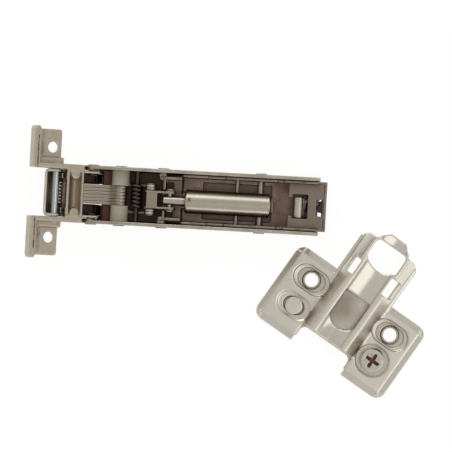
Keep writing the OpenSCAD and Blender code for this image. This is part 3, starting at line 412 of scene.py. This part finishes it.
spotBase = {"tilt": 0.0, "soft": 0.0003, "ragged": 0.0002, "amount": 0.9}
castBase = dict(spotBase, tilt=bracketTilt)
castSpots = [
    # painted shade in the crease by each lip
    dict(castBase, at=onBracket(-0.00735, 0.0133, 0.003), half=(0.0001, 0.0054, 0.0012),
         soft=0.00014, ragged=0.00012, colour=(0.07, 0.045, 0.03), amount=0.95),  # crease by each lip
    # painted shade on the floor of the bridge's pocket
    dict(castBase, at=onBracket(0.0062, 0.0, 0.0019), half=(0.0019, 0.0066, 0.00065),
         soft=0.0005, colour=(0.24, 0.18, 0.115), amount=0.85),  # the bridge's pocket
    # painted shade in the space between the cheeks
    dict(castBase, at=onBracket(0.0010, 0.0056, -0.0012), half=(0.0021, 0.0019, 0.0036),
         soft=0.0002, colour=(0.09, 0.045, 0.035)),  # between the cheeks
    dict(castBase, at=onBracket(-0.0028, 0.0138, 0.0006), half=(0.003, 0.0012, 0.0008),
         soft=0.002, ragged=0.0008, colour=(0.44, 0.37, 0.29), amount=0.5),  # stain on each wing
]
linkSpots = [
    dict(spotBase, at=(-0.0178, 0.0, 0.006), half=(0.0016, 0.004, 0.006),
         colour=(0.24, 0.14, 0.11), amount=0.8),  # the plates' front ends
    dict(spotBase, at=(-0.0023, 0.0, 0.009), half=(0.0008, 0.004, 0.006), soft=0.0009,
         colour=(0.20, 0.15, 0.11), amount=0.8),  # the shade between the bushes
]
tubeSpots = [
    dict(spotBase, at=(0.0231, 0.0, 0.0125), half=(0.0002, 0.0003, 0.003), soft=0.0004,
         colour=(0.12, 0.075, 0.05), amount=0.8),  # the mark near the gland
]
baseSpots = [
    dict(spotBase, at=(0.0755, 0.0325, 0.0), half=(0.0025, 0.0025, 0.004), soft=0.005,
         colour=(0.36, 0.31, 0.24), amount=0.8),  # the shade under the plate's window
]
camSpots = [
    # painted shade on the bottom and sides of the cross recess
    dict(spotBase, at=(0.0870576, 0.0502984, 0.00480), half=(0.0024, 0.0024, 0.0007),
         soft=0.0001, ragged=0.00005, colour=(0.17, 0.075, 0.05), amount=1.0),  # the cross recess
]
rivetSpots = [
    # painted shade on the rivets' ends, for the dark gap round them
    dict(spotBase, at=(trayPivot.x, 0.0061, trayPivot.z), half=(0.003, 0.00075, 0.003),
         soft=0.00005, ragged=0.0, colour=(0.05, 0.035, 0.03), amount=1.0),  # the rivets' ends
]

looks = {
    "cast_zinc": dict(
        satin, colour=(0.51, 0.45, 0.36), stain=(0.40, 0.335, 0.26), stainAmount=0.6,
        stainScale=420.0, speckle=0.55, grainScale=1400.0, grainDepth=0.5, edge=0.0003,
        rough=(0.36, 0.5), deepAmount=0.6, reach=0.002, deep=(0.14, 0.095, 0.065),
        worn=(0.84, 0.775, 0.66), wornWidth=0.0006, wornAmount=0.75, spots=castSpots),
    "sheet": dict(satin, stretch=(0.25, 1, 1)),
    "link_sheet": dict(
        satin, colour=(0.43, 0.37, 0.285), stretch=(0.25, 1, 1), reach=0.0012,
        deep=(0.07, 0.045, 0.035), spots=linkSpots),
    "pin_steel": dict(
        satin, colour=(0.60, 0.635, 0.64), stain=(0.45, 0.45, 0.44), stainAmount=0.05,
        speckle=0.0, grainDepth=0.04, rough=(0.10, 0.16), deepAmount=0.5),
    "rivet_steel": dict(
        satin, colour=(0.50, 0.455, 0.38), rough=(0.3, 0.42), wornAmount=0.12, deepAmount=0.4,
        reach=0.0015, spots=rivetSpots),
    "cylinder": dict(
        satin, colour=(0.56, 0.52, 0.425), stain=(0.40, 0.36, 0.28), stainAmount=0.25,
        speckle=0.04, grainDepth=0.05, grainScale=1800.0, stretch=(0.08, 1, 1),
        rough=(0.26, 0.32), deepAmount=0.6, reach=0.0016, spots=tubeSpots),
    "spring_steel": dict(
        satin, colour=(0.075, 0.066, 0.06), stain=(0.16, 0.11, 0.08), rough=(0.25, 0.36),
        worn=(0.3, 0.27, 0.24), wornAmount=0.2),
    "bush_plastic": dict(
        satin, colour=(0.44, 0.415, 0.315), stain=(0.40, 0.38, 0.28), metal=0.0, speckle=0.05,
        grainDepth=0.06, rough=(0.35, 0.45), deep=(0.33, 0.31, 0.24), deepAmount=0.55,
        reach=0.003, worn=(0.72, 0.72, 0.66), glow=0.25, glowReach=(0.001, 0.0009, 0.0007)),
    "spacer_brown": dict(
        satin, colour=(0.24, 0.14, 0.10), stain=(0.12, 0.07, 0.05), metal=0.7,
        worn=(0.5, 0.38, 0.3)),
    "seal_plastic": dict(
        satin, colour=(0.04, 0.04, 0.04), stain=(0.07, 0.06, 0.05), metal=0.0,
        rough=(0.4, 0.5), worn=(0.1, 0.1, 0.1)),
    "inner_sheet": dict(
        satin, colour=(0.37, 0.315, 0.26), stain=(0.26, 0.2, 0.155), stainAmount=0.6,
        stainScale=260.0, speckle=0.45, stretch=(0.25, 1, 1), shadeZone=carrierInsideShade,
        rough=(0.3, 0.44), reach=0.004, deepAmount=0.6, wornWidth=0.0002, wornAmount=0.8),
    "latch_sheet": dict(
        satin, colour=(0.30, 0.24, 0.195), stain=(0.22, 0.165, 0.13), stainAmount=0.6,
        speckle=0.35, worn=(0.62, 0.56, 0.48), wornAmount=0.55, rough=(0.36, 0.5), reach=0.003),
    "cam_steel": dict(
        satin, colour=(0.70, 0.665, 0.58), rough=(0.24, 0.36), deep=(0.13, 0.05, 0.035),
        reach=0.0009, deepAmount=1.0, spots=camSpots),
    "clevis_sheet": dict(
        satin, colour=(0.39, 0.335, 0.26), stain=(0.32, 0.25, 0.18), stainAmount=0.5, speckle=0.2),
    "arm_sheet": dict(
        satin, colour=(0.62, 0.57, 0.48), shadeZone=armInsideShade, stretch=(0.25, 1, 1), speckle=0.3,
        stainAmount=0.5),
    "tray_sheet": dict(
        satin, colour=(0.62, 0.57, 0.48), deepAmount=0.45, reach=0.0012, wornAmount=0.25,
        shadeZone=trayInsideShade),
    "plate_steel": dict(
        satin, colour=(0.80, 0.76, 0.67), stain=(0.68, 0.63, 0.53), speckle=0.04,
        grainDepth=0.1, rough=(0.26, 0.34), reach=0.003, deep=(0.24, 0.185, 0.135),
        deepAmount=0.8, wornAmount=0.25),
}
# the base plate: a darker copy of the plate's steel, painted shade that the channel casts on it
looks["base_steel"] = dict(
    looks["plate_steel"], colour=(0.74, 0.69, 0.59), stain=(0.62, 0.56, 0.46), spots=baseSpots)

# nodes whose look isn't that of their slot
ownLook = {
    "arm_channel": "arm_sheet", "outer_link": "tray_sheet", "damper_clevis": "clevis_sheet",
    "plate_top": "plate_steel", "plate_base": "base_steel", "plate_guide_rivet": "plate_steel",
}

finishes = {name: makeFinish(name, look) for name, look in looks.items()}
print("finishes made:", len(finishes))

slotOf = {entry["node"]: entry["material_slot"] for entry in frame["record"]["subparts"]}
bodies = frame["record"]["behaviour"]["bodies"]
bodyOf = {name: body for body, names in bodies.items() for name in names}
weld = 2e-6  # corners closer than this are one corner


def finishOf(node):
    return finishes[ownLook.get(node, slotOf[node])]


def addPiece(name, mesh, node):
    piece = bpy.data.objects.new(name, mesh)
    bpy.context.scene.collection.objects.link(piece)
    mesh.materials.clear()
    mesh.materials.append(finishOf(node))
    return piece


def applyModifiers(piece):
    graph = bpy.context.evaluated_depsgraph_get()
    mesh = bpy.data.meshes.new_from_object(piece.evaluated_get(graph))
    piece.modifiers.clear()
    piece.data = mesh
    for face in mesh.polygons:
        face.use_smooth = True


def standsFor(piece, node):
    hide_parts(node)
    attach(piece, bodyOf[node])


def mergedCopy(node):
    mesh = bpy.data.meshes.new(node + "_copy")
    shape = bmesh.new()
    shape.from_mesh(nodes[node].data)
    bmesh.ops.remove_doubles(shape, verts=shape.verts, dist=weld)
    shape.to_mesh(mesh)
    shape.free()
    return mesh


# the sheet and cast pieces, with every edge and fold rounded as pressing and casting leave them

eased = {  # voxel in metres, rounds of smoothing, share of the faces kept
    "door_bracket": {"voxel": 0.00018, "rounds": 7, "keep": 0.4},
    "arm_channel": {"voxel": 0.00022, "rounds": 4, "keep": 0.22},
    "outer_link": {"voxel": 0.00018, "rounds": 4, "keep": 0.3},
    "carrier_channel": {"voxel": 0.00018, "rounds": 3, "keep": 0.25},
    "damper_frame": {"voxel": 0.00016, "rounds": 4, "keep": 0.3},
    "latch_housing": {"voxel": 0.00015, "rounds": 4, "keep": 0.3},
    "latch_lever": {"voxel": 0.00012, "rounds": 4, "keep": 0.4},
    "damper_clevis": {"voxel": 0.0001, "rounds": 6, "keep": 0.4},
    "drive_links": {"voxel": 0.00011, "rounds": 5, "keep": 0.35},
    "plate_top": {"voxel": 0.00021, "rounds": 14, "keep": 0.5},
    "plate_base": {"voxel": 0.00024, "rounds": 4, "keep": 0.3},
    "plate_sleeves": {"voxel": 0.0001, "rounds": 6, "keep": 0.5},
    "plate_guide_rivet": {"voxel": 0.00013, "rounds": 12, "keep": 0.5},
    "plate_cam_screw": {"voxel": 0.00012, "rounds": 6, "keep": 0.5},
    "outer_link_rivets": {"voxel": 0.0001, "rounds": 5, "keep": 0.4},
    "frame_rivets": {"voxel": 0.0001, "rounds": 5, "keep": 0.4},
    "guide_rivets": {"voxel": 0.0001, "rounds": 5, "keep": 0.4},
    "arm_pivot_pin": {"voxel": 0.0001, "rounds": 5, "keep": 0.4},
    "clevis_pin": {"voxel": 0.0001, "rounds": 5, "keep": 0.4},
    "clevis_washers": {"voxel": 0.00008, "rounds": 4, "keep": 0.4},
    "rod_pin": {"voxel": 0.0001, "rounds": 5, "keep": 0.4},
    "bracket_pin": {"voxel": 0.00012, "rounds": 5, "keep": 0.4},
}

plate = {
    "centre": Vector((0.079, -0.033, 0)), "turn": math.radians(58),
    "dish": 0.0007, "dishHalf": 0.0047,  # how far the channel's middle sinks between the rails
    "scoop": 0.0016, "scoopFrom": -0.0065, "nose": -0.0135,  # the tongue dips towards its edge
    "above": 0.0035,  # only what stands higher is bent
}

# the plates of the inner link, let out until only hairlines are left between them
stack = {
    "pitch": 0.0011, "middle": 0.00015, "count": 6, "let": 0.00001, "round": 0.0002,
    "sharp": math.radians(50), "half": 0.00324, "webPlate": 2,
    # a sheet under the gaps between the plates, so the gaps show dark: painted shade in place of
    # the floor
    "web": ((-0.0142, -0.00305, 0.0048), (-0.0055, 0.00335, 0.0052)),  # a strip below the gaps
}

# the tray's front wall stands upright, its sides lie close to the bracket, its slot is narrower
tray = {
    "tilt": math.radians(20.5), "from": 0.0005, "wall": -0.0036, "top": 0.0022,
    "bottom": -0.0045, "pushTop": -0.0002, "pushBottom": 0.0017, "side": 0.0074,
    "widen": 0.0001, "floor": -0.0034, "narrow": 0.0001, "slotEdge": 0.0006,
}

# the straight upper edge of the tray's ears, in the bracket's direction from its pin
earBar = {
    "front": 0.0092, "rear": 0.0150, "near": 0.0070, "far": 0.0077, "low": 0.0004,
    "high": 0.0022,
}

# the curl behind the tray's floor, struck about the tray's pivot, from and to in degrees
curl = {
    "inner": 0.0046, "outer": 0.00505, "from": -95, "to": -46, "step": 7, "near": 0.00345,
    "far": 0.0071,
}

# the lip on the front of the arm's back, short enough for the tray to pass it
lip = {
    "front": -0.00765, "rear": -0.0056, "near": 0.0037, "far": 0.0086, "low": 0.00002,
    "high": 0.0009,
}
boss = {"radius": 0.0030, "near": 0.00802, "far": 0.0087, "segments": 40}  # on the arm's lobes
bridge = {"low": (0.0653, -0.0019, 0.00145), "high": (0.0678, 0.0019, 0.00225)}  # over the slot

bracket = {
    "markAt": (-0.0066, 0.0138), "markR": 0.0021, "markSoft": 0.00018, "markDeep": 0.00022,
    "wingTop": 0.0006, "wingBand": 0.00025,
    "cheek": 0.00575, "cheekHalf": 0.0011, "cheekLow": -0.0006,  # cut low before the bridge
    "cheekFrom": 0.0031, "cheekSoft": 0.0003,
}


def smoothStep(value):
    value = max(0.0, min(1.0, value))
    return value * value * (3 - 2 * value)


def shapePlate(mesh):
    cosTurn, sinTurn = math.cos(plate["turn"]), math.sin(plate["turn"])
    for vertex in mesh.vertices:
        away = vertex.co - plate["centre"]
        along = away.x * cosTurn + away.y * sinTurn
        across = abs(away.x * sinTurn - away.y * cosTurn)
        if across < plate["dishHalf"] and vertex.co.z > plate["above"]:
            bowl = smoothStep(1 - across / plate["dishHalf"])
            front = smoothStep((plate["scoopFrom"] - along) / (plate["scoopFrom"] - plate["nose"]))
            vertex.co.z -= plate["dish"] * bowl + plate["scoop"] * front * bowl


# a corner's place in a frame that stands tilted on the bracket's pin
def tiltedPlace(vertex, tilt):
    away = vertex.co - bracketPin
    cosTilt, sinTilt = math.cos(tilt), math.sin(tilt)
    return away.x * cosTilt - away.z * sinTilt, away.x * sinTilt + away.z * cosTilt


def shapeTray(mesh):
    for vertex in mesh.vertices:
        along, up = tiltedPlace(vertex, tray["tilt"])
        front = smoothStep((tray["from"] - along) / (tray["from"] - tray["wall"]))
        down = (tray["top"] - up) / (tray["top"] - tray["bottom"])
        vertex.co.x += front * (tray["pushTop"] * (1 - down) + tray["pushBottom"] * down)
        beside = vertex.co.y - stack["middle"]
        if abs(vertex.co.y) > tray["side"]:
            vertex.co.y += math.copysign(tray["widen"], vertex.co.y)
        elif up < tray["floor"] and abs(beside) < stack["half"] + tray["slotEdge"]:
            vertex.co.y -= math.copysign(tray["narrow"], beside)


def sinkCorner(vertex, depth):
    vertex.co.x -= depth * math.sin(bracketTilt)
    vertex.co.z -= depth * math.cos(bracketTilt)


def shapeBracket(mesh):
    markAlong, markSide = bracket["markAt"]
    for vertex in mesh.vertices:
        along, up = tiltedPlace(vertex, bracketTilt)
        side = abs(vertex.co.y)
        if abs(up - bracket["wingTop"]) < bracket["wingBand"]:
            reach = math.hypot(along - markAlong, side - markSide)
            mark = smoothStep((bracket["markR"] - reach) / bracket["markSoft"])
            sinkCorner(vertex, bracket["markDeep"] * mark)
        if abs(side - bracket["cheek"]) < bracket["cheekHalf"] and up > bracket["cheekLow"]:
            cut = smoothStep((bracket["cheekFrom"] - along) / bracket["cheekSoft"])
            sinkCorner(vertex, (up - bracket["cheekLow"]) * cut)


def addBox(shape, low, high, turned=Matrix()):
    low, high = Vector(low), Vector(high)
    bmesh.ops.create_cube(
        shape, size=1.0, matrix=turned @ Matrix.LocRotScale((low + high) / 2, None, high - low))


def addSideBox(shape, spec, side, turned=Matrix()):
    first, last = sorted((side * spec["near"], side * spec["far"]))
    addBox(shape, (spec["front"], first, spec["low"]), (spec["rear"], last, spec["high"]), turned)


def addLip(shape):
    for side in (-1, 1):
        addSideBox(shape, lip, side)
        disc = trayPivot + Vector((0, side * (boss["near"] + boss["far"]) / 2, 0))
        bmesh.ops.create_cone(
            shape, cap_ends=True, segments=boss["segments"], radius1=boss["radius"],
            radius2=boss["radius"], depth=boss["far"] - boss["near"],
            matrix=Matrix.Translation(disc) @ Matrix.Rotation(math.pi / 2, 4, "X"))


def addBridge(shape):
    addBox(shape, bridge["low"], bridge["high"])


def addCurl(shape):
    turned = Matrix.Translation(bracketPin) @ Matrix.Rotation(tray["tilt"], 4, "Y")
    for side in (-1, 1):
        near = curl["near"] + side * stack["middle"]
        outline = ((curl["inner"], near), (curl["outer"], near),
                   (curl["outer"], curl["far"]), (curl["inner"], curl["far"]))
        rows = []
        for degrees in range(curl["from"], curl["to"] + 1, curl["step"]):
            cosTurn, sinTurn = math.cos(math.radians(degrees)), math.sin(math.radians(degrees))
            corners = [Vector((radius * cosTurn, side * y, radius * sinTurn))
                       for radius, y in outline]
            rows.append([shape.verts.new(trayPivot + corner) for corner in corners])
        strip = [shape.faces.new(rows[0]), shape.faces.new(rows[-1])]
        for before, after in zip(rows, rows[1:]):
            for index in range(4):
                beside = (index + 1) % 4
                strip.append(shape.faces.new(
                    (before[index], before[beside], after[beside], after[index])))
        bmesh.ops.recalc_face_normals(shape, faces=strip)
        addSideBox(shape, earBar, side, turned)


# what is added to a copy before it is rounded, and how it is bent afterwards
added = {"arm_channel": addLip, "outer_link": addCurl, "carrier_channel": addBridge}
shaped = {"plate_top": shapePlate, "door_bracket": shapeBracket, "outer_link": shapeTray}


def editMesh(mesh, change):
    shape = bmesh.new()
    shape.from_mesh(mesh)
    change(shape)
    shape.to_mesh(mesh)
    shape.free()


def easedCopy(node, spec):
    piece = addPiece(node + "_dressed", mergedCopy(node), node)
    if node in added:
        editMesh(piece.data, added[node])
    cut = piece.modifiers.new("voxels", "REMESH")
    cut.mode = "VOXEL"
    cut.voxel_size = spec["voxel"]
    soften = piece.modifiers.new("soften", "SMOOTH")
    soften.factor = 0.5
    soften.iterations = spec["rounds"]
    applyModifiers(piece)
    if node in shaped:
        shaped[node](piece.data)
    thin = piece.modifiers.new("thin", "DECIMATE")
    thin.ratio = spec["keep"]
    applyModifiers(piece)
    standsFor(piece, node)
    return piece


for nodeName, spec in eased.items():
    dressed = easedCopy(nodeName, spec)
    print("eased", nodeName, len(dressed.data.polygons))


def linkPlate(index):
    node = "link_plate_%d" % (index + 1)
    mesh = mergedCopy(node)
    middle = stack["middle"] + (index - (stack["count"] - 1) / 2) * stack["pitch"]
    shape = bmesh.new()
    shape.from_mesh(mesh)
    for vertex in shape.verts:
        vertex.co.y += math.copysign(stack["let"], vertex.co.y - middle)
    bmesh.ops.dissolve_limit(
        shape, angle_limit=math.radians(1), verts=shape.verts, edges=shape.edges)
    sharp = [edge for edge in shape.edges if len(edge.link_faces) == 2
             and edge.calc_face_angle(0) > stack["sharp"]]
    bmesh.ops.bevel(shape, geom=sharp, offset=stack["round"], segments=3, profile=0.5,
                    affect="EDGES", offset_type="OFFSET", material=-1, clamp_overlap=True)
    # one plate carries the strip that stands in for the shade under the gaps
    if index == stack["webPlate"]:
        addBox(shape, *stack["web"])
    shape.to_mesh(mesh)
    shape.free()
    for face in mesh.polygons:
        face.use_smooth = True
    standsFor(addPiece(node + "_dressed", mesh, node), node)


for plateIndex in range(stack["count"]):
    linkPlate(plateIndex)
print("link plates eased")


# the two springs, with a round wire

# how far the wire is let out again after rounding, and how much more behind legsFrom
wire = {
    "closing_spring": {"grow": 0.00005, "legsFrom": math.inf, "legsGrow": 0.0},
    "latch_spring": {"grow": 0.00002, "legsFrom": 0.0650, "legsGrow": 0.00018},
}


def roundedWire(node, spec):
    mesh = mergedCopy(node)
    shape = bmesh.new()
    shape.from_mesh(mesh)
    bmesh.ops.join_triangles(shape, faces=shape.faces, angle_face_threshold=math.radians(40),
                             angle_shape_threshold=math.radians(50))
    for vertex in shape.verts:
        more = spec["legsGrow"] if vertex.co.x > spec["legsFrom"] else 0
        vertex.co += vertex.normal * (spec["grow"] + more)
    shape.to_mesh(mesh)
    shape.free()
    piece = addPiece(node + "_dressed", mesh, node)
    fine = piece.modifiers.new("fine", "SUBSURF")
    fine.levels = 2
    fine.render_levels = 2
    applyModifiers(piece)
    standsFor(piece, node)


for nodeName, spec in wire.items():
    roundedWire(nodeName, spec)
print("springs rounded")

for name, node in nodes.items():
    for slot in node.material_slots:
        slot.material = finishOf(name)
print("nodes dressed")


# floor, lamps and camera

def makeFloor():
    mesh = bpy.data.meshes.new("floor")
    shape = bmesh.new()
    bmesh.ops.create_grid(shape, x_segments=1, y_segments=1, size=floor["size"] / 2,
                          matrix=Matrix.Translation((0, 0, -floor["drop"])))
    shape.to_mesh(mesh)
    shape.free()
    ground = bpy.data.objects.new("floor", mesh)
    bpy.context.scene.collection.objects.link(ground)
    material = bpy.data.materials.new("floor")
    material.use_nodes = True
    tree = material.node_tree
    tree.nodes.clear()
    matte = addNode(tree, "ShaderNodeBsdfDiffuse", {"Color": (*floor["colour"], 1)})
    glow = addNode(tree, "ShaderNodeEmission", {"Color": (1, 1, 1, 1), "Strength": floor["white"]})
    path = addNode(tree, "ShaderNodeLightPath")
    seen = addNode(tree, "ShaderNodeMath", operation="ADD", use_clamp=True)
    also = addNode(tree, "ShaderNodeMath", operation="ADD", use_clamp=True)
    tree.links.new(path.outputs["Is Camera Ray"], seen.inputs[0])
    tree.links.new(path.outputs["Is Transmission Ray"], seen.inputs[1])
    tree.links.new(seen.outputs[0], also.inputs[0])
    tree.links.new(path.outputs["Is Glossy Ray"], also.inputs[1])
    share = multiply(tree, also.outputs[0], floor["glow"])
    blendNode = addNode(tree, "ShaderNodeMixShader")
    out = addNode(tree, "ShaderNodeOutputMaterial")
    tree.links.new(share, blendNode.inputs[0])
    tree.links.new(matte.outputs[0], blendNode.inputs[1])
    tree.links.new(glow.outputs[0], blendNode.inputs[2])
    tree.links.new(blendNode.outputs[0], out.inputs[0])
    mesh.materials.append(material)


def makeWorld():
    world = bpy.data.worlds.new("studio")
    bpy.context.scene.world = world
    world.use_nodes = True
    tree = world.node_tree
    tree.nodes.clear()
    sky = addNode(tree, "ShaderNodeBackground", {
        "Color": light["skyColour"], "Strength": light["sky"]})
    white = addNode(tree, "ShaderNodeBackground", {"Color": (1, 1, 1, 1), "Strength": 1.0})
    path = addNode(tree, "ShaderNodeLightPath")
    blendNode = addNode(tree, "ShaderNodeMixShader")
    out = addNode(tree, "ShaderNodeOutputWorld")
    tree.links.new(path.outputs["Is Camera Ray"], blendNode.inputs[0])
    tree.links.new(sky.outputs[0], blendNode.inputs[1])
    tree.links.new(white.outputs[0], blendNode.inputs[2])
    tree.links.new(blendNode.outputs[0], out.inputs[0])


def makeLamp(name, spec):
    lamp = bpy.data.lights.new(name, "AREA")
    lamp.shape = "DISK"
    lamp.size = spec["size"]
    lamp.energy = spec["power"]
    holder = bpy.data.objects.new(name, lamp)
    bpy.context.scene.collection.objects.link(holder)
    holder.location = spec["at"]
    aim = Vector((*camera["centre"], 0)) - holder.location
    holder.rotation_euler = aim.to_track_quat("-Z", "Y").to_euler()


def makeCamera():
    lens = bpy.data.cameras.new("camera")
    lens.sensor_width = camera["sensor"]
    lens.lens = lens.sensor_width * camera["distance"] / camera["width"]
    lens.clip_start, lens.clip_end = camera["clip"]
    holder = bpy.data.objects.new("camera", lens)
    bpy.context.scene.collection.objects.link(holder)
    holder.location = (*camera["centre"], camera["distance"] + camera["height"])
    holder.rotation_euler = (0, 0, camera["turn"])
    bpy.context.scene.camera = holder


makeFloor()
makeWorld()
for lampName in ("key", "fill", "strip"):
    makeLamp(lampName, light[lampName])
makeCamera()
bpy.context.scene.view_settings.view_transform = "Standard"
print("stage set")
